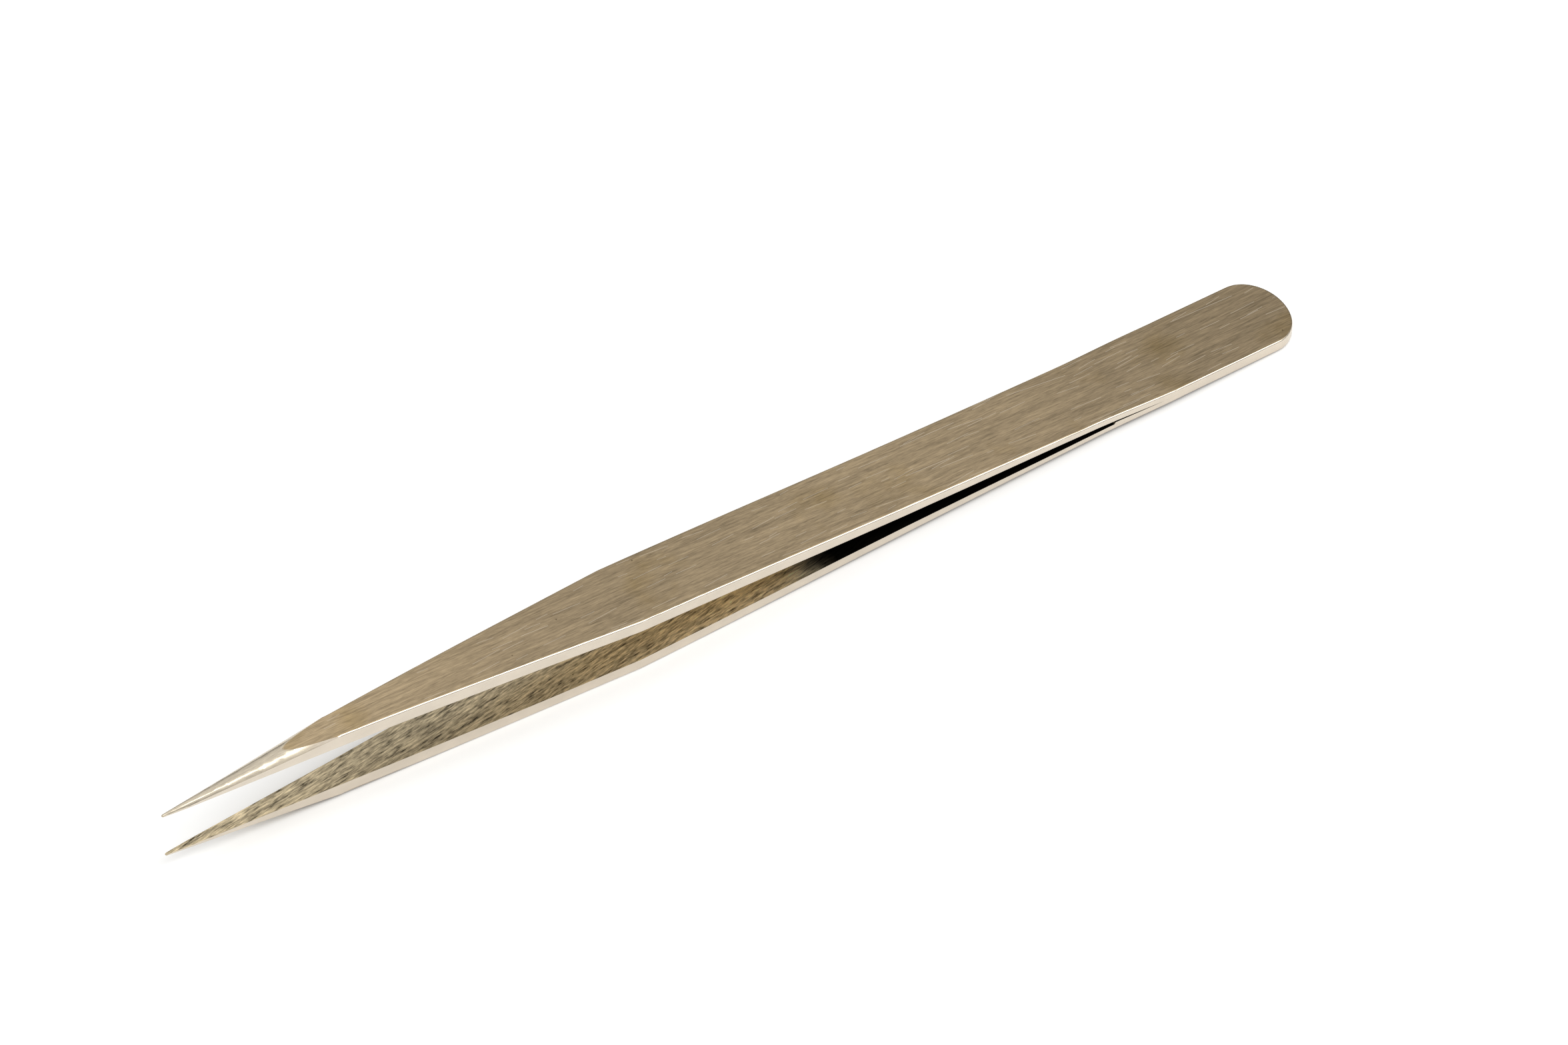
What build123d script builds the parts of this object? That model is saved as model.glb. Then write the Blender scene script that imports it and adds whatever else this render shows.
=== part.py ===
from build123d import *
import os
from math import atan2, cos, radians, sin, tan

# Precision tweezers: two bowed steel blades welded face to face at the head.
# Millimetres. The tweezers lie as they come to rest, on the outer face of the
# lower blade and the lower rim of the head. +X runs from the tips to the head,
# +Y across the blades and +Z up. The origin is under the middle, on the table.
#
# Both blades are drawn in the tweezers' own frame: x from the tips towards the
# head, and a height that is measured outward from the weld plane.

# Over all
LENGTH = 130.0

# Widths of a blade, and where along it each one is reached
TIP_WIDTH = 0.38
NECK_WIDTH = 3.1
NECK_X = 18.7
GRIP_WIDTH = 8.1
GRIP_X = 50.3
SHANK_WIDTH = 8.75
SHOULDER_LENGTH = 10.0
HEAD_WIDTH = 9.3
HEAD_LENGTH = 16.0
HEAD_ROUND_DEPTH = 3.7

# The weld, from the end of the head, and the slit that runs into it
WELD_LENGTH = 18.0
SLIT_LENGTH = 6.0
SLIT_GAP = 0.23
LAND_SLANT = 0.15

# Bow: half the gap between the blades. The outer face is straight for a stretch
# at the belly, and BELLY_X is its middle. The bend and the flex of the arm are
# shares of the way from there to the slit.
FRONT_X = 15.0
FRONT_GAP = 2.7
BELLY_X = 43.0
BELLY_LENGTH = 12.0
BELLY_GAP = 2.25
BEND_SHARE = 0.33
BEND_GAP = 1.52
FLEX_SHARE = 0.63
FLEX_GAP = 0.78

# Thickness of each blade: it thins from the tip to the head
FRONT_THICKNESS = 1.47
BELLY_THICKNESS = 1.35
BEND_THICKNESS = 1.26
FLEX_THICKNESS = 1.04
SLIT_THICKNESS = 0.72
HEAD_THICKNESS = 0.68
HEAD_FLAT_LENGTH = 13.0

# The outer edges are rounded by hand finishing, and the inner ones stay sharp
EDGE_ROUND = 0.22

# Ground tips: a slender cone that opens into a flare, with a rounded nose.
# The axis of the cone lies just outside the inner face.
NOSE_RADIUS = 0.15
AXIS_HEIGHT = 0.08
CONE_LENGTH = 12.7
FLARE_ANGLE = 6.7

# How far the cutting shapes reach past the blade
MARGIN = 2.0

# Stations measured back from the end of the head
head_round_x = LENGTH - HEAD_ROUND_DEPTH
head_flat_x = LENGTH - HEAD_FLAT_LENGTH
head_x = LENGTH - HEAD_LENGTH
shank_x = head_x - SHOULDER_LENGTH
weld_x = LENGTH - WELD_LENGTH
slit_x = weld_x - SLIT_LENGTH
bend_x = BELLY_X + BEND_SHARE * (slit_x - BELLY_X)
flex_x = BELLY_X + FLEX_SHARE * (slit_x - BELLY_X)

# Rest: the table touches the rounded rim of the head and the belly of the lower
# blade, and the outer face runs along the table at the belly
heel_x = LENGTH - EDGE_ROUND
belly_height = BELLY_GAP + BELLY_THICKNESS
rest_angle = atan2(belly_height - HEAD_THICKNESS, heel_x - BELLY_X)
along = Vector(cos(rest_angle), 0, -sin(rest_angle))
upward = Vector(sin(rest_angle), 0, cos(rest_angle))

# The origin is midway between the nose of the lower tip and the rim of the head
tip_height = FRONT_GAP + AXIS_HEIGHT
nose_x = NOSE_RADIUS * cos(rest_angle) - tip_height * sin(rest_angle) - NOSE_RADIUS
rim_x = LENGTH * cos(rest_angle) + (HEAD_THICKNESS - EDGE_ROUND) * sin(rest_angle)
table_depth = BELLY_X * sin(rest_angle) + belly_height * cos(rest_angle)
weld_origin = Vector(-(nose_x + rim_x) / 2, 0, table_depth)


def blade_planes(outward):
    """The plan plane and the side plane of a blade whose height runs outward."""
    plan = Plane(origin=weld_origin, x_dir=along, z_dir=outward)
    side = Plane(origin=weld_origin, x_dir=along, z_dir=along.cross(outward))
    return plan, side


def inner_face(has_land):
    """The inner line of a blade, from the nose to the end of the head."""
    slit_end = (slit_x, SLIT_GAP)
    Line((-MARGIN, FRONT_GAP), (FRONT_X, FRONT_GAP))
    Spline(
        (FRONT_X, FRONT_GAP),
        (BELLY_X, BELLY_GAP),
        (bend_x, BEND_GAP),
        (flex_x, FLEX_GAP),
        slit_end,
        tangents=[(1, 0), (SLIT_LENGTH, -SLIT_GAP)],
    )
    land_start = (slit_x + LAND_SLANT, 0) if has_land else (weld_x, 0)
    Polyline(slit_end, land_start, (LENGTH + MARGIN, 0))


def outer_face():
    """The outer line of a blade, from the end of the head to the nose."""
    front = (FRONT_X, FRONT_GAP + FRONT_THICKNESS)
    table = (-1, tan(rest_angle))
    reach, rise = BELLY_LENGTH / 2, BELLY_LENGTH / 2 * tan(rest_angle)
    belly_back = (BELLY_X + reach, belly_height - rise)
    belly_front = (BELLY_X - reach, belly_height + rise)
    Line((LENGTH + MARGIN, 0), (LENGTH + MARGIN, HEAD_THICKNESS))
    Line((LENGTH + MARGIN, HEAD_THICKNESS), (head_flat_x, HEAD_THICKNESS))
    Spline(
        (head_flat_x, HEAD_THICKNESS),
        (slit_x, SLIT_GAP + SLIT_THICKNESS),
        (flex_x, FLEX_GAP + FLEX_THICKNESS),
        (bend_x, BEND_GAP + BEND_THICKNESS),
        belly_back,
        tangents=[(-1, 0), table],
    )
    Line(belly_back, belly_front)
    Spline(belly_front, front, tangents=[table, (-1, 0)])
    Line(front, (-MARGIN, front[1]))
    Line((-MARGIN, front[1]), (-MARGIN, FRONT_GAP))


def side_profile(side, has_land):
    """The bowed strip seen from the side."""
    with BuildSketch(side) as profile:
        with BuildLine():
            inner_face(has_land)
            outer_face()
        make_face()
    return profile.sketch


def plan_outline(plan):
    """The blade seen from above, with a nose that is still as wide as the neck."""
    half = [
        (-MARGIN, NECK_WIDTH / 2),
        (NECK_X, NECK_WIDTH / 2),
        (GRIP_X, GRIP_WIDTH / 2),
        (shank_x, SHANK_WIDTH / 2),
    ]
    shank_slope = (SHANK_WIDTH - GRIP_WIDTH) / 2 / (shank_x - GRIP_X)
    with BuildSketch(plan) as outline:
        with BuildLine():
            for s in (1, -1):
                Polyline(*[(x, s * y) for x, y in half])
                Spline(
                    (shank_x, s * SHANK_WIDTH / 2),
                    (head_x, s * HEAD_WIDTH / 2),
                    tangents=[(1, s * shank_slope), (1, 0)],
                )
                Line((head_x, s * HEAD_WIDTH / 2), (head_round_x, s * HEAD_WIDTH / 2))
            EllipticalCenterArc(
                (head_round_x, 0), HEAD_ROUND_DEPTH, HEAD_WIDTH / 2, start_angle=-90, arc_size=180
            )
            Line((-MARGIN, -NECK_WIDTH / 2), (-MARGIN, NECK_WIDTH / 2))
        make_face()
    return outline.sketch


def needle_outline(plan):
    """The narrow taper of the tip, left wide open behind the neck."""
    half = [
        (-MARGIN, TIP_WIDTH / 2),
        (0, TIP_WIDTH / 2),
        (NECK_X, NECK_WIDTH / 2),
        (NECK_X, HEAD_WIDTH),
        (LENGTH + MARGIN, HEAD_WIDTH),
    ]
    with BuildSketch(plan) as outline:
        with BuildLine():
            Polyline(*half, *[(x, -y) for x, y in reversed(half)], close=True)
        make_face()
    return outline.sketch


def tip_envelope(side):
    """Half the section of the ground tip, from its own axis outward."""
    nose = Vector(NOSE_RADIUS, tip_height + NOSE_RADIUS)
    cone = Vector(CONE_LENGTH, FRONT_GAP + FRONT_THICKNESS)
    flare = Vector(1, tan(radians(FLARE_ANGLE)))
    flare_end = cone + flare * (GRIP_X - CONE_LENGTH)
    behind = flare_end + flare * (LENGTH + MARGIN - GRIP_X)
    with BuildSketch(side) as section:
        with BuildLine():
            RadiusArc((0, tip_height), nose, NOSE_RADIUS)
            Spline(nose, cone, flare_end, tangents=[cone - nose, flare])
            Polyline(flare_end, behind, (behind.X, tip_height), (0, tip_height))
        make_face()
    return section.sketch


def shape_blade(outward, has_land):
    """Make one whole blade in the part that is being built."""
    plan, side = blade_planes(outward)
    below = plan.offset(-MARGIN)
    reach = MARGIN + FRONT_GAP + FRONT_THICKNESS + MARGIN

    # Bowed strip, cut to the plan outline
    extrude(side_profile(side, has_land), amount=HEAD_WIDTH, both=True)
    extrude(plan_outline(below), amount=reach, mode=Mode.INTERSECT)

    # Rounded edges all round the outer face
    outer = faces().filter_by(lambda face: face.normal_at().get_angle(outward) < 45)
    fillet(outer.edges().filter_by(Axis.Y, reverse=True), EDGE_ROUND)

    # Ground tip: the cone rounds the outer side, then the needle taper
    tip_axis = Axis(side.from_local_coords((0, tip_height, 0)), along)
    revolve(tip_envelope(side), axis=tip_axis, mode=Mode.INTERSECT)
    extrude(needle_outline(below), amount=reach, mode=Mode.INTERSECT)


os.makedirs("parts", exist_ok=True)

# Upper blade: its inner face closes on the weld plane at the weld
with BuildPart() as upper_blade:
    shape_blade(upward, has_land=False)
upper_blade.part.label = "upper_blade"

# Lower blade: keeps a raised land under the weld, which ends in a small step
with BuildPart() as lower_blade:
    shape_blade(-upward, has_land=True)
lower_blade.part.label = "lower_blade"

export_step(upper_blade.part, "parts/upper_blade.step")
export_step(lower_blade.part, "parts/lower_blade.step")
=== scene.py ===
import math

import bpy
from mathutils import Matrix, Vector

bl_info = {
    "name": "Precision Tweezers",
    "version": (1, 0, 0),
    "blender": (4, 5, 0),
    "location": "3D View > Sidebar > Tweezers",
    "description": "Finishes the packed tweezers in ground steel and lays them on a white table",
    "category": "Object",
}

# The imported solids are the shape. Everything below is their finish, table, light and camera.
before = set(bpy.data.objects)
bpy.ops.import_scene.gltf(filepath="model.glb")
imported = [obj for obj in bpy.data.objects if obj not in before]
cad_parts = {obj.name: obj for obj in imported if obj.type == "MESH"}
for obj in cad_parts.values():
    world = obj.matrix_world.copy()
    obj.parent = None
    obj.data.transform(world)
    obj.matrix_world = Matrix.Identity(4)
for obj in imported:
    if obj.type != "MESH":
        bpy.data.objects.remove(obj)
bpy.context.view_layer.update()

MM = 0.001

# The blades' own frame, as in the solids: x from the tips to the head, z out from the weld
WELD_ORIGIN_MM = (-64.924, 0.0, 5.044)
REST_ANGLE = math.radians(1.927)
UPWARD = Vector((math.sin(REST_ANGLE), 0.0, math.cos(REST_ANGLE)))
ALONG = Vector((math.cos(REST_ANGLE), 0.0, -math.sin(REST_ANGLE)))
BLADE_LENGTH_MM = 130.0

# The ground cone of a tip, as in the solids: its axis, and its radius along the blade
TIP_AXIS_MM = 2.78
CONE_END_MM = 12.7
CONE_RADIUS_MM = 1.39
CONE_SLOPE = 0.0988
FLARE_SLOPE = 0.1175

# A point deeper than the first under the cone's surface is no part of it, and one nearer
# than the second is
CONE_SKIN_MM = (0.07, 0.02)

# How far a surface has turned from one finish to the next. For the walls it is the sideways
# share of the normal, and for the faces it is how squarely they look outward.
WALL_TURN = (0.3, 0.65)
TIP_WALL_TURN = (0.93, 0.99)
INNER_TURN = (-0.5, -0.8)
OUTER_TURN = (0.9, 0.99)

# Shade of the faces along the blade, as (distance from the tips in mm, brightness). On the
# inner faces it is painted light and shade, and painted shade makes them go dark at the slit.
FACE_TONE = (
    (0, 1.2), (18, 1.27), (27, 1.17), (37, 0.98), (50, 0.92), (84, 1.0), (103, 0.91), (122, 0.75)
)
INNER_PAINTED_LIGHT_AND_SHADE = (
    (5, 1.4), (11, 1.26), (20, 1.13), (28, 1.05), (40, 1.4),
    (48, 1.62), (62, 1.85), (69, 1.85), (71.5, 0.3), (73, 0.02),
)
TONE_TOP = 2.5

# Layers of grinding lines. Outer faces: shares of the grain's width and length, detail and
# contrast. Inner faces: width and length in mm, slant in degrees, detail and contrast.
FACE_LAYERS = ((1.0, 1.0, 3.0, 1.2), (0.5, 0.3, 2.0, 0.8), (4.0, 4.0, 1.0, 0.5))
INNER_LAYERS = ((0.12, 1.8, -7.0, 3.0, 3.4), (0.07, 0.8, -12.0, 2.0, 2.0))
FINE_DETAIL = 0.6
LINE_DEPTH_MM = 0.004

# The lines of the other surfaces, as a share of those on the outer faces: how deep they
# are, and how much of them can be seen on the polished tips
INNER_DEPTH = 2.0
WALL_DEPTH = 0.25
TIP_DEPTH = 0.3
TIP_LINES = 0.5

# Light scratches of the outer faces: the cell that holds one and half its width, in mm, the
# slope across the blade and its spread, and the share of the cells that have one
SHORT_SCRATCHES = {"cell": (4.0, 0.7), "width": 0.03, "slope": 0.02, "spread": 0.12, "share": 0.35}
LONG_SCRATCHES = {"cell": (9.0, 1.9), "width": 0.035, "slope": -0.06, "spread": 0.1, "share": 0.22}
SCRATCH_CORE = 0.3
SCRATCH_REACH = (0.1, 0.5)
SCRATCH_SHINE = 0.5

# Patches of brown tarnish on the outer faces: their size, where in the noise they start and
# are full, and how strong they get
TARNISH_SIZE_MM = 6.25
TARNISH_DETAIL = 4.0
TARNISH_RANGE = (0.55, 0.75)
TARNISH_SHARE = 0.5

# Small dark pits on the flat faces: the cells that hold one, the share of the cells that
# have one, and the edge and the core of a pit as shares of a cell
PIT_CELLS_PER_MM = 0.3
PIT_SHARE = 0.3
PIT_EDGE = 0.035
PIT_CORE = 0.02
PIT_DARKNESS = 0.6
PIT_COLOUR = "#3A3020"

# Faint uneven polish of the side walls
SMUDGE_WIDTH_MM = 0.9
SMUDGE_LENGTH_MM = 2.5
SMUDGE_DETAIL = 4.0
SMUDGE_RANGE = (0.35, 0.62)
WALL_SHADE = (0.93, 0.87)

# Roughness of ground and of polished steel
FACE_ROUGHNESS = 0.3
INNER_ROUGHNESS = 0.38
TIP_ROUGHNESS = 0.22
WALL_ROUGHNESS = 0.26
LINE_ANISOTROPY = 0.5

# The board's fibre, about a millimetre long and hardly raised
FIBRES_PER_METRE = 900.0
FIBRE_DETAIL = 3.0
FIBRE_DEPTH_MM = 0.02
FIBRE_STRENGTH = 0.2
BOARD_ROUGHNESS = 0.9

# The room's brightness, from the horizon to overhead, and the place of the softbox
HORIZON_COLOUR = (0.11, 0.105, 0.085)
ROOM_TONE = ((0.1, 0.22), (0.25, 0.6), (0.5, 0.9), (0.75, 0.98), (1.0, 1.0))
SOFTBOX_PLACE = (0.28, -0.34, 0.66)

# The photograph's frame is 2352 pixels wide, and its camera was fitted to both blades
CAMERA_PLACE_MM = (-205.17, -329.02, 440.99)
CAMERA_FORWARD = (0.35855, 0.56264, -0.74491)
CAMERA_ROLL = math.radians(-1.213)
SENSOR_MM = 36.0
FOCAL_LENGTH_MM = 9000 / 2352 * SENSOR_MM


def linear(colour):
    """Turns an sRGB hex colour into the linear values that Blender works in."""
    channels = [int(colour[i : i + 2], 16) / 255 for i in (1, 3, 5)]
    return tuple(c / 12.92 if c <= 0.04045 else ((c + 0.055) / 1.055) ** 2.4 for c in channels)


def add(tree, kind, settings=None, links=None):
    """Adds a node. A setting is a socket, by name or number, or a property of the node."""
    node = tree.nodes.new(kind)
    for key, value in (settings or {}).items():
        if isinstance(key, int) or key in node.inputs:
            node.inputs[key].default_value = value
        else:
            setattr(node, key, value)
    for key, source in (links or {}).items():
        output = source.outputs[0] if isinstance(source, bpy.types.Node) else source
        tree.links.new(output, node.inputs[key])
    return node


class TweezersFinish(bpy.types.PropertyGroup):
    """Colours and grain of the ground steel."""

    # Its darker khaki is partly painted reflection of the dim room above the outer faces
    face_colour_and_painted_reflection: bpy.props.FloatVectorProperty(
        name="Outer face",
        description="Satin outer faces, ground along the blade",
        subtype="COLOR",
        size=3,
        min=0,
        max=1,
        default=linear("#9E8C70"),
    )
    # Its bright cream is partly painted reflection of the white table in the side walls
    wall_colour_and_painted_reflection: bpy.props.FloatVectorProperty(
        name="Side wall",
        description="Narrow side walls, polished bright",
        subtype="COLOR",
        size=3,
        min=0,
        max=1,
        default=linear("#E0D5C5"),
    )
    inner_colour: bpy.props.FloatVectorProperty(
        name="Inner face",
        description="Inner faces, left with a coarser grind",
        subtype="COLOR",
        size=3,
        min=0,
        max=1,
        default=linear("#A1947A"),
    )
    # Its lighter cream is partly painted reflection on the cone of the tip
    tip_colour_and_painted_reflection: bpy.props.FloatVectorProperty(
        name="Tip",
        description="Ground and polished cone of the tip",
        subtype="COLOR",
        size=3,
        min=0,
        max=1,
        default=linear("#C9BEAA"),
    )
    stain_colour: bpy.props.FloatVectorProperty(
        name="Stain",
        description="Faint brown tarnish on the outer faces",
        subtype="COLOR",
        size=3,
        min=0,
        max=1,
        default=linear("#8A7448"),
    )
    grain_width: bpy.props.FloatProperty(
        name="Grain width",
        description="Width of the grinding lines on the outer faces, in millimetres",
        default=0.09,
        min=0.02,
        max=1.0,
    )
    grain_length: bpy.props.FloatProperty(
        name="Grain length",
        description="Length of the grinding lines on the outer faces, in millimetres",
        default=3.0,
        min=0.2,
        max=30.0,
    )


class TweezersStage(bpy.types.PropertyGroup):
    """Table and light."""

    table_colour: bpy.props.FloatVectorProperty(
        name="Table",
        description="Matt white board that the tweezers lie on",
        subtype="COLOR",
        size=3,
        min=0,
        max=1,
        default=linear("#FCFCFB"),
    )
    table_size: bpy.props.FloatProperty(
        name="Table size",
        description="Width of the board",
        default=6.0,
        min=0.5,
        subtype="DISTANCE",
        unit="LENGTH",
    )
    softbox_size: bpy.props.FloatProperty(
        name="Softbox size",
        description="Width of the square softbox",
        default=0.45,
        min=0.05,
        subtype="DISTANCE",
        unit="LENGTH",
    )
    softbox_power: bpy.props.FloatProperty(
        name="Softbox power",
        description="Power of the softbox, in watts",
        default=2.8,
        min=0.0,
        unit="POWER",
    )


def set_stops(ramp, stops):
    """Puts stops on a new colour ramp, each as (position, colour)."""
    elements = ramp.color_ramp.elements
    elements.remove(elements[1])
    for number, (position, colour) in enumerate(stops):
        stop = elements[0] if number == 0 else elements.new(position)
        stop.position = position
        stop.color = (*colour, 1.0)


def blade_position(tree):
    """The point being shaded, in the blades' own frame and in millimetres."""
    place = add(tree, "ShaderNodeTexCoord")
    return add(
        tree,
        "ShaderNodeMapping",
        {
            "vector_type": "TEXTURE",
            "Location": Vector(WELD_ORIGIN_MM) * MM,
            "Rotation": (0.0, REST_ANGLE, 0.0),
            "Scale": (MM, MM, MM),
        },
        {"Vector": place.outputs["Object"]},
    )


def streaks(tree, position, width, length, slant, detail):
    """Grinding lines of a width and length in millimetres, as a value round a half."""
    # One cell of the noise is a bright line and a dark one
    cells = (1 / length, 0.5 / width, 0.5 / width)
    turned = add(
        tree,
        "ShaderNodeMapping",
        {"Rotation": (0.0, 0.0, slant)},
        {"Vector": position},
    )
    drawn_out = add(
        tree,
        "ShaderNodeVectorMath",
        {"operation": "MULTIPLY", 1: cells},
        {0: turned},
    )
    return add(
        tree,
        "ShaderNodeTexNoise",
        {"Scale": 1.0, "Detail": detail, "Roughness": FINE_DETAIL},
        {"Vector": drawn_out},
    )


def layered(tree, layers):
    """Streaks and their contrasts, added up to a brightness round one."""
    (first, first_contrast), *others = layers
    level = 1 - sum(contrast for _, contrast in layers) / 2
    total = add(
        tree,
        "ShaderNodeMath",
        {"operation": "MULTIPLY_ADD", 1: first_contrast, 2: level},
        {0: first},
    )
    for streak, contrast in others:
        total = add(
            tree,
            "ShaderNodeMath",
            {"operation": "MULTIPLY_ADD", 1: contrast},
            {0: streak, 2: total},
        )
    return total


def tone(tree, distance, stops):
    """Brightness that changes slowly along the blade."""
    share = add(
        tree,
        "ShaderNodeMath",
        {"operation": "DIVIDE", 1: BLADE_LENGTH_MM},
        {0: distance},
    )
    ramp = add(tree, "ShaderNodeValToRGB", {}, {"Fac": share})
    set_stops(ramp, [(x / BLADE_LENGTH_MM, (value / TONE_TOP,) * 3) for x, value in stops])
    return add(tree, "ShaderNodeMath", {"operation": "MULTIPLY", 1: TONE_TOP}, {0: ramp})


def scratches(tree, position, cell, width, slope, spread, share):
    """Fine straight scratches: at most one in each cell, and only in a share of the cells."""
    scaled = add(
        tree,
        "ShaderNodeVectorMath",
        {"operation": "DIVIDE", 1: (*cell, 1.0)},
        {0: position},
    )
    cells = add(
        tree,
        "ShaderNodeTexVoronoi",
        {"voronoi_dimensions": "2D", "Scale": 1.0},
        {"Vector": scaled},
    )
    chance = add(tree, "ShaderNodeSeparateColor", {}, {0: cells.outputs["Color"]})

    # Way from the middle of the scratch, in mm
    away = add(
        tree,
        "ShaderNodeVectorMath",
        {"operation": "SUBTRACT"},
        {0: scaled, 1: cells.outputs["Position"]},
    )
    offset = add(
        tree,
        "ShaderNodeVectorMath",
        {"operation": "MULTIPLY", 1: (*cell, 0.0)},
        {0: away},
    )
    offset_xy = add(tree, "ShaderNodeSeparateXYZ", {}, {0: offset})

    # Distance from its line
    steepness = add(
        tree,
        "ShaderNodeMapRange",
        {"To Min": slope - spread, "To Max": slope + spread},
        {"Value": chance.outputs["Red"]},
    )
    rise = add(
        tree,
        "ShaderNodeMath",
        {"operation": "MULTIPLY"},
        {0: steepness, 1: offset_xy.outputs["X"]},
    )
    miss = add(
        tree,
        "ShaderNodeMath",
        {"operation": "SUBTRACT"},
        {0: offset_xy.outputs["Y"], 1: rise},
    )
    apart = add(tree, "ShaderNodeMath", {"operation": "ABSOLUTE"}, {0: miss})
    line = add(
        tree,
        "ShaderNodeMapRange",
        {"From Min": width, "From Max": width * SCRATCH_CORE},
        {"Value": apart},
    )

    # Its ends, and whether the cell has one
    run = add(tree, "ShaderNodeMath", {"operation": "ABSOLUTE"}, {0: offset_xy.outputs["X"]})
    shortest, longest = SCRATCH_REACH
    reach = add(
        tree,
        "ShaderNodeMapRange",
        {"To Min": cell[0] * shortest, "To Max": cell[0] * longest},
        {"Value": chance.outputs["Green"]},
    )
    ends = add(tree, "ShaderNodeMath", {"operation": "LESS_THAN"}, {0: run, 1: reach})
    kept = add(
        tree,
        "ShaderNodeMath",
        {"operation": "LESS_THAN", 1: share},
        {0: chance.outputs["Blue"]},
    )
    whole = add(tree, "ShaderNodeMath", {"operation": "MULTIPLY"}, {0: line, 1: ends})
    return add(tree, "ShaderNodeMath", {"operation": "MULTIPLY"}, {0: whole, 1: kept})


def pits(tree, position):
    """Small round pits, as 1 at the core and 0 outside."""
    cells = add(
        tree,
        "ShaderNodeTexVoronoi",
        {"Scale": PIT_CELLS_PER_MM},
        {"Vector": position},
    )
    chance = add(tree, "ShaderNodeSeparateColor", {}, {0: cells.outputs["Color"]})
    kept = add(
        tree,
        "ShaderNodeMath",
        {"operation": "LESS_THAN", 1: PIT_SHARE},
        {0: chance.outputs["Red"]},
    )
    pit = add(
        tree,
        "ShaderNodeMapRange",
        {"From Min": PIT_EDGE, "From Max": PIT_CORE},
        {"Value": cells.outputs["Distance"]},
    )
    return add(tree, "ShaderNodeMath", {"operation": "MULTIPLY"}, {0: pit, 1: kept})


def tip_share(tree, xyz, outward):
    """Is 1 on the ground cone of the tip and 0 on the rest of the blade."""
    height = add(
        tree,
        "ShaderNodeMath",
        {"operation": "MULTIPLY_ADD", 1: outward, 2: -TIP_AXIS_MM},
        {0: xyz.outputs["Z"]},
    )
    across = add(tree, "ShaderNodeCombineXYZ", {}, {"Y": xyz.outputs["Y"], "Z": height})
    radius = add(tree, "ShaderNodeVectorMath", {"operation": "LENGTH"}, {0: across})
    cone, flare = (
        add(
            tree,
            "ShaderNodeMath",
            {"operation": "MULTIPLY_ADD", 1: slope, 2: CONE_RADIUS_MM - slope * CONE_END_MM},
            {0: xyz.outputs["X"]},
        )
        for slope in (CONE_SLOPE, FLARE_SLOPE)
    )
    envelope = add(tree, "ShaderNodeMath", {"operation": "MAXIMUM"}, {0: cone, 1: flare})
    depth = add(
        tree,
        "ShaderNodeMath",
        {"operation": "SUBTRACT"},
        {0: envelope, 1: radius.outputs["Value"]},
    )
    inside, skin = CONE_SKIN_MM
    return add(
        tree,
        "ShaderNodeMapRange",
        {"interpolation_type": "SMOOTHSTEP", "From Min": inside, "From Max": skin},
        {"Value": depth},
    )


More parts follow.
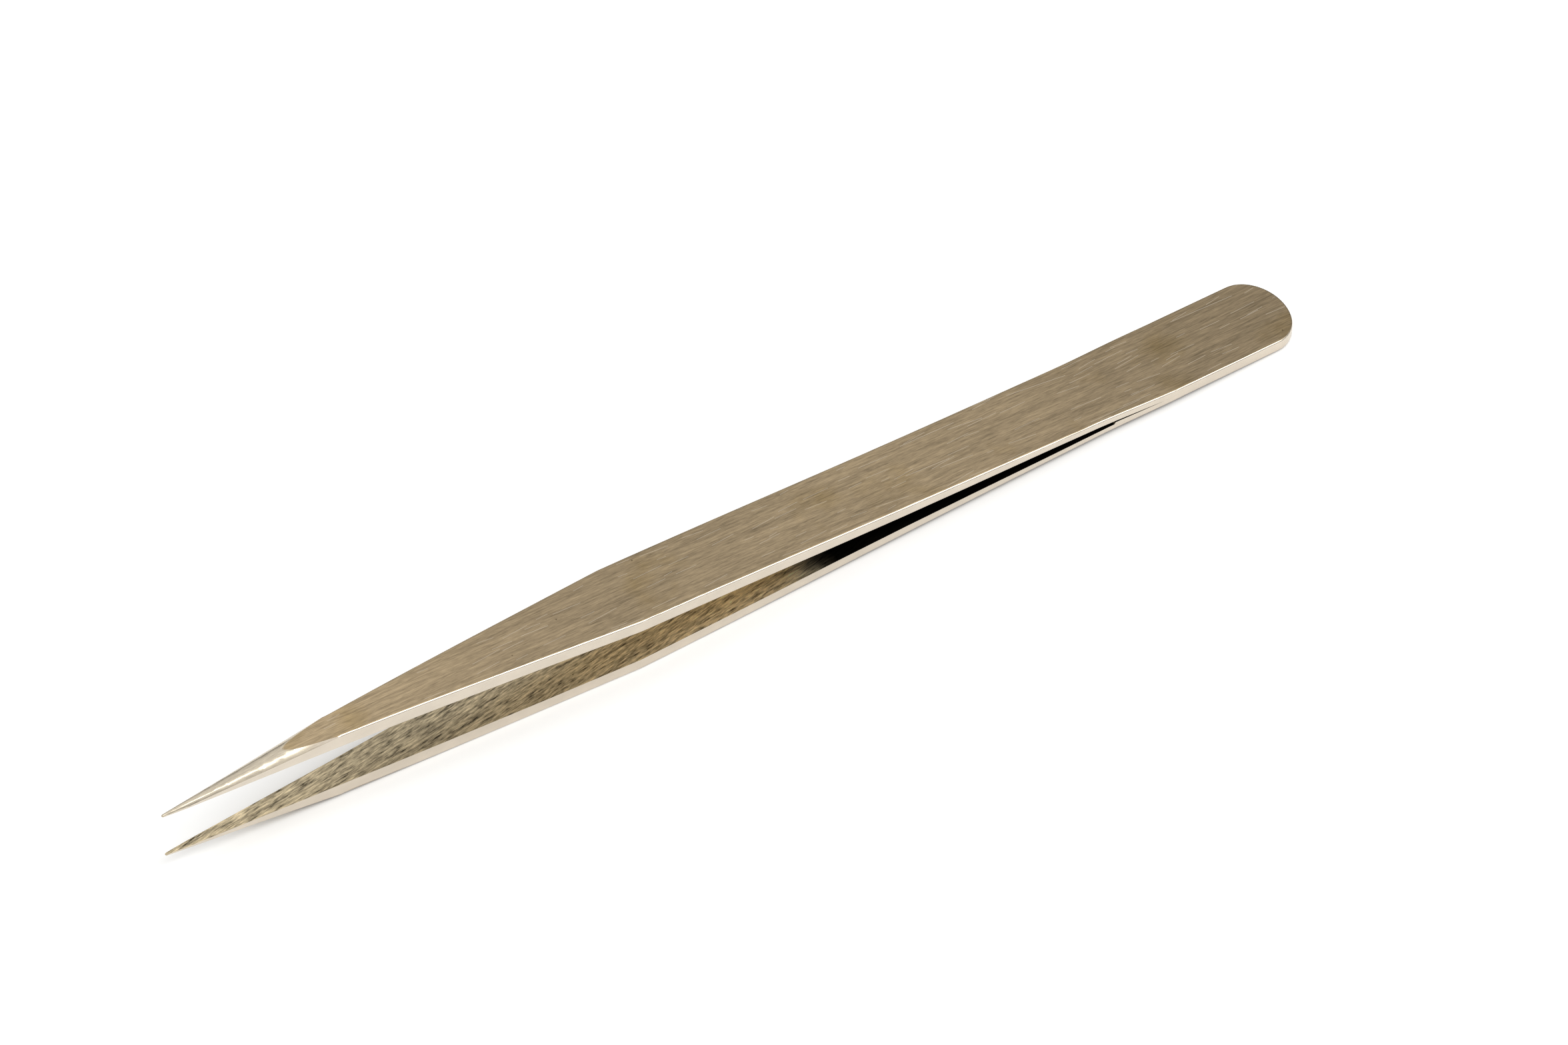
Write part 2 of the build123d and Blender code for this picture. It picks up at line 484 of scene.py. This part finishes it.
def ground_steel(name, outward, finish):
    """Stainless steel strip, ground with belts along the blade.

    The outer faces are satin, with fine lines that run the length of the blade, a few light
    scratches and a faint brown tarnish, and their darker colour is partly painted reflection
    of the dim room. The side walls and the rounded edges are polished, and their bright colour
    is partly painted reflection of the white table. The inner faces keep the coarser lines of
    the first grind and carry painted light and shade that goes dark into the slit, and the
    cones of the tips are polished by hand, their lighter colour partly painted reflection. The
    lines and scratches are drawn a little wider than the grit leaves them, because they would
    be too fine to show.
    """
    material = bpy.data.materials.new(name)
    material.use_nodes = True
    tree = material.node_tree
    tree.nodes.clear()
    position = blade_position(tree)
    xyz = add(tree, "ShaderNodeSeparateXYZ", {}, {0: position})
    surface = add(tree, "ShaderNodeNewGeometry")

    # How much each point belongs to the tip, the walls, the inner face and the outer face
    normal_xyz = add(tree, "ShaderNodeSeparateXYZ", {}, {0: surface.outputs["Normal"]})
    sideways = add(tree, "ShaderNodeMath", {"operation": "ABSOLUTE"}, {0: normal_xyz.outputs["Y"]})
    facing = add(
        tree,
        "ShaderNodeVectorMath",
        {"operation": "DOT_PRODUCT", 1: UPWARD * outward},
        {0: surface.outputs["Normal"]},
    ).outputs["Value"]
    side, tip_side, inner, outer = (
        add(
            tree,
            "ShaderNodeMapRange",
            {"interpolation_type": "SMOOTHSTEP", "From Min": start, "From Max": end},
            {"Value": direction},
        )
        for direction, (start, end) in (
            (sideways, WALL_TURN),
            (sideways, TIP_WALL_TURN),
            (facing, INNER_TURN),
            (facing, OUTER_TURN),
        )
    )
    tip = tip_share(tree, xyz, outward)
    wall = add(tree, "ShaderNodeMix", {}, {"Factor": tip, 2: side, 3: tip_side})

    # Grinding lines of each surface, as a brightness round one
    face_layers = []
    for width, length, detail, contrast in FACE_LAYERS:
        width *= finish.grain_width
        length *= finish.grain_length
        face_layers.append((streaks(tree, position, width, length, 0.0, detail), contrast))
    inner_layers = []
    for width, length, slant, detail, contrast in INNER_LAYERS:
        slant = math.radians(slant)
        inner_layers.append((streaks(tree, position, width, length, slant, detail), contrast))
    face_lines = layered(tree, face_layers)
    inner_lines = layered(tree, inner_layers)

    # Shade of each surface
    face_shade = add(
        tree,
        "ShaderNodeMath",
        {"operation": "MULTIPLY"},
        {0: face_lines, 1: tone(tree, xyz.outputs["X"], FACE_TONE)},
    )
    tip_shade = add(
        tree,
        "ShaderNodeMath",
        {"operation": "MULTIPLY_ADD", 1: TIP_LINES, 2: 1 - TIP_LINES},
        {0: face_lines},
    )
    # Painted light and shade along the inner faces, black as painted shade in the slit, over their
    # lines
    inner_lines_and_painted_shade = add(
        tree,
        "ShaderNodeMath",
        {"operation": "MULTIPLY"},
        {0: inner_lines, 1: tone(tree, xyz.outputs["X"], INNER_PAINTED_LIGHT_AND_SHADE)},
    )
    smudge = streaks(tree, position, SMUDGE_WIDTH_MM, SMUDGE_LENGTH_MM, 0.0, SMUDGE_DETAIL)
    wall_shade = add(
        tree,
        "ShaderNodeMapRange",
        {
            "From Min": SMUDGE_RANGE[0],
            "From Max": SMUDGE_RANGE[1],
            "To Min": WALL_SHADE[0],
            "To Max": WALL_SHADE[1],
        },
        {"Value": smudge},
    )
    shade = face_shade
    for share, other in ((tip, tip_shade), (inner, inner_lines_and_painted_shade), (wall, wall_shade)):
        shade = add(tree, "ShaderNodeMix", {}, {"Factor": share, 2: shade, 3: other})

    # Scratches and tarnish on the outer faces, and pits on both
    short = scratches(tree, position, **SHORT_SCRATCHES)
    long = scratches(tree, position, **LONG_SCRATCHES)
    marks = add(tree, "ShaderNodeMath", {"operation": "MAXIMUM"}, {0: short, 1: long})
    marks = add(tree, "ShaderNodeMath", {"operation": "MULTIPLY"}, {0: marks, 1: outer})
    patch = add(
        tree,
        "ShaderNodeTexNoise",
        {"Scale": 1 / TARNISH_SIZE_MM, "Detail": TARNISH_DETAIL},
        {"Vector": position},
    )
    stain = add(
        tree,
        "ShaderNodeMapRange",
        {"From Min": TARNISH_RANGE[0], "From Max": TARNISH_RANGE[1], "To Max": TARNISH_SHARE},
        {"Value": patch},
    )
    stain = add(tree, "ShaderNodeMath", {"operation": "MULTIPLY"}, {0: stain, 1: outer})
    flat = add(tree, "ShaderNodeMath", {"operation": "MAXIMUM"}, {0: outer, 1: inner})
    pit = add(
        tree,
        "ShaderNodeMath",
        {"operation": "MULTIPLY"},
        {0: pits(tree, position), 1: flat},
    )

    # Colour: each surface's finish and painted reflection, its shade, and what is lit or dark on
    # top
    colour = add(
        tree,
        "ShaderNodeMix",
        {"data_type": "RGBA", 6: (*finish.face_colour_and_painted_reflection, 1.0), 7: (*finish.stain_colour, 1.0)},
        {"Factor": stain},
    ).outputs[2]
    # Tip and wall colours go over the face colour, and their difference is partly painted
    # reflection
    for share, other in (
        (tip, finish.tip_colour_and_painted_reflection),
        (inner, finish.inner_colour),
        (wall, finish.wall_colour_and_painted_reflection),
    ):
        colour = add(
            tree,
            "ShaderNodeMix",
            {"data_type": "RGBA", 7: (*other, 1.0)},
            {"Factor": share, 6: colour},
        ).outputs[2]
    shaded = add(
        tree, "ShaderNodeVectorMath", {"operation": "SCALE"}, {0: colour, "Scale": shade}
    )
    colour = shaded.outputs[0]
    for share, strength, other in (
        (marks, SCRATCH_SHINE, finish.wall_colour_and_painted_reflection),
        (pit, PIT_DARKNESS, linear(PIT_COLOUR)),
    ):
        weak = add(tree, "ShaderNodeMath", {"operation": "MULTIPLY", 1: strength}, {0: share})
        colour = add(
            tree,
            "ShaderNodeMix",
            {"data_type": "RGBA", 7: (*other, 1.0)},
            {"Factor": weak, 6: colour},
        ).outputs[2]

    # Roughness, and the depth of the lines
    rough = add(
        tree,
        "ShaderNodeMapRange",
        {"To Min": FACE_ROUGHNESS, "To Max": INNER_ROUGHNESS},
        {"Value": inner},
    )
    for share, value in ((tip, TIP_ROUGHNESS), (wall, WALL_ROUGHNESS)):
        rough = add(tree, "ShaderNodeMix", {3: value}, {"Factor": share, 2: rough})
    relief = add(
        tree,
        "ShaderNodeMix",
        {},
        {"Factor": inner, 2: face_layers[0][0], 3: inner_layers[0][0]},
    )
    depth = add(tree, "ShaderNodeMix", {2: 1.0, 3: INNER_DEPTH}, {"Factor": inner})
    for share, value in ((wall, WALL_DEPTH), (tip, TIP_DEPTH)):
        depth = add(tree, "ShaderNodeMix", {3: value}, {"Factor": share, 2: depth})
    height = add(tree, "ShaderNodeMath", {"operation": "MULTIPLY"}, {0: relief, 1: depth})
    bump = add(
        tree,
        "ShaderNodeBump",
        {"Strength": 1.0, "Distance": LINE_DEPTH_MM * MM},
        {"Height": height},
    )

    # The lines spread the light across the blade
    across = add(
        tree,
        "ShaderNodeVectorMath",
        {"operation": "CROSS_PRODUCT", 1: ALONG},
        {0: surface.outputs["Normal"]},
    )
    shader = add(
        tree,
        "ShaderNodeBsdfPrincipled",
        {"Metallic": 1.0, "Anisotropic": LINE_ANISOTROPY},
        {"Base Color": colour, "Roughness": rough, "Normal": bump, "Tangent": across},
    )
    add(tree, "ShaderNodeOutputMaterial", {}, {"Surface": shader})
    return material


def matt_board(stage):
    """White coated board, pressed smooth: even and matt, with a faint fibre."""
    material = bpy.data.materials.new("Matt white board")
    material.use_nodes = True
    tree = material.node_tree
    tree.nodes.clear()
    place = add(tree, "ShaderNodeTexCoord")
    fibre = add(
        tree,
        "ShaderNodeTexNoise",
        {"Scale": FIBRES_PER_METRE, "Detail": FIBRE_DETAIL},
        {"Vector": place.outputs["Object"]},
    )
    bump = add(
        tree,
        "ShaderNodeBump",
        {"Strength": FIBRE_STRENGTH, "Distance": FIBRE_DEPTH_MM * MM},
        {"Height": fibre},
    )
    shader = add(
        tree,
        "ShaderNodeBsdfPrincipled",
        {"Base Color": (*stage.table_colour, 1.0), "Roughness": BOARD_ROUGHNESS},
        {"Normal": bump},
    )
    add(tree, "ShaderNodeOutputMaterial", {}, {"Surface": shader})
    return material


def studio_world():
    """Plain pale studio: bright overhead, and dimmer towards the walls of the room."""
    world = bpy.data.worlds.new("Studio")
    world.use_nodes = True
    tree = world.node_tree
    tree.nodes.clear()
    direction = add(tree, "ShaderNodeTexCoord")
    xyz = add(tree, "ShaderNodeSeparateXYZ", {}, {0: direction.outputs["Generated"]})
    ramp = add(tree, "ShaderNodeValToRGB", {}, {"Fac": xyz.outputs["Z"]})
    greys = [(position, (value,) * 3) for position, value in ROOM_TONE]
    set_stops(ramp, [(0.0, HORIZON_COLOUR), *greys])
    background = add(tree, "ShaderNodeBackground", {"Strength": 1.0}, {"Color": ramp})
    add(tree, "ShaderNodeOutputWorld", {}, {"Surface": background})
    return world


class TWEEZERS_OT_finish_blades(bpy.types.Operator):
    """Give both blades their ground steel."""

    bl_idname = "tweezers.finish_blades"
    bl_label = "Finish the Blades"

    def execute(self, context):
        finish = context.scene.tweezers_finish
        for node, outward in (("upper_blade", 1.0), ("lower_blade", -1.0)):
            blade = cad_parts[node]
            steel = ground_steel(f"Ground stainless steel, {node}", outward, finish)
            blade.data.materials.clear()
            blade.data.materials.append(steel)
        return {"FINISHED"}


class TWEEZERS_OT_set_stage(bpy.types.Operator):
    """Lay out the table, the light and the camera."""

    bl_idname = "tweezers.set_stage"
    bl_label = "Set the Stage"

    def execute(self, context):
        scene = context.scene
        stage = scene.tweezers_stage

        half = stage.table_size / 2
        corners = [(-half, -half, 0), (half, -half, 0), (half, half, 0), (-half, half, 0)]
        mesh = bpy.data.meshes.new("table")
        mesh.from_pydata(corners, [], [(0, 1, 2, 3)])
        table = bpy.data.objects.new("table", mesh)
        table.data.materials.append(matt_board(stage))
        scene.collection.objects.link(table)

        scene.world = studio_world()
        softbox = bpy.data.lights.new("softbox", "AREA")
        softbox.size = stage.softbox_size
        softbox.energy = stage.softbox_power
        lamp = bpy.data.objects.new("softbox", softbox)
        lamp.location = SOFTBOX_PLACE
        lamp.rotation_euler = (-lamp.location).to_track_quat("-Z", "Y").to_euler()
        scene.collection.objects.link(lamp)

        lens = bpy.data.cameras.new("camera")
        lens.sensor_width = SENSOR_MM
        lens.lens = FOCAL_LENGTH_MM
        camera = bpy.data.objects.new("camera", lens)
        level = Vector(CAMERA_FORWARD).to_track_quat("-Z", "Y").to_matrix().to_4x4()
        roll = Matrix.Rotation(CAMERA_ROLL, 4, "Z")
        camera.matrix_world = Matrix.Translation(Vector(CAMERA_PLACE_MM) * MM) @ level @ roll
        scene.collection.objects.link(camera)
        scene.camera = camera
        scene.view_settings.view_transform = "Standard"
        return {"FINISHED"}


class TWEEZERS_PT_sidebar(bpy.types.Panel):
    """Finish and stage of the tweezers."""

    bl_label = "Precision Tweezers"
    bl_idname = "TWEEZERS_PT_sidebar"
    bl_space_type = "VIEW_3D"
    bl_region_type = "UI"
    bl_category = "Tweezers"

    def draw(self, context):
        for group, operator in (
            (context.scene.tweezers_finish, TWEEZERS_OT_finish_blades),
            (context.scene.tweezers_stage, TWEEZERS_OT_set_stage),
        ):
            box = self.layout.box()
            for name in group.bl_rna.properties.keys():
                if name not in ("rna_type", "name"):
                    box.prop(group, name)
            box.operator(operator.bl_idname)


CLASSES = (
    TweezersFinish,
    TweezersStage,
    TWEEZERS_OT_finish_blades,
    TWEEZERS_OT_set_stage,
    TWEEZERS_PT_sidebar,
)


def register():
    for cls in CLASSES:
        bpy.utils.register_class(cls)
    bpy.types.Scene.tweezers_finish = bpy.props.PointerProperty(type=TweezersFinish)
    bpy.types.Scene.tweezers_stage = bpy.props.PointerProperty(type=TweezersStage)


def unregister():
    del bpy.types.Scene.tweezers_stage
    del bpy.types.Scene.tweezers_finish
    for cls in reversed(CLASSES):
        bpy.utils.unregister_class(cls)


def main():
    register()
    bpy.ops.tweezers.finish_blades()
    bpy.ops.tweezers.set_stage()


if __name__ == "__main__":
    main()
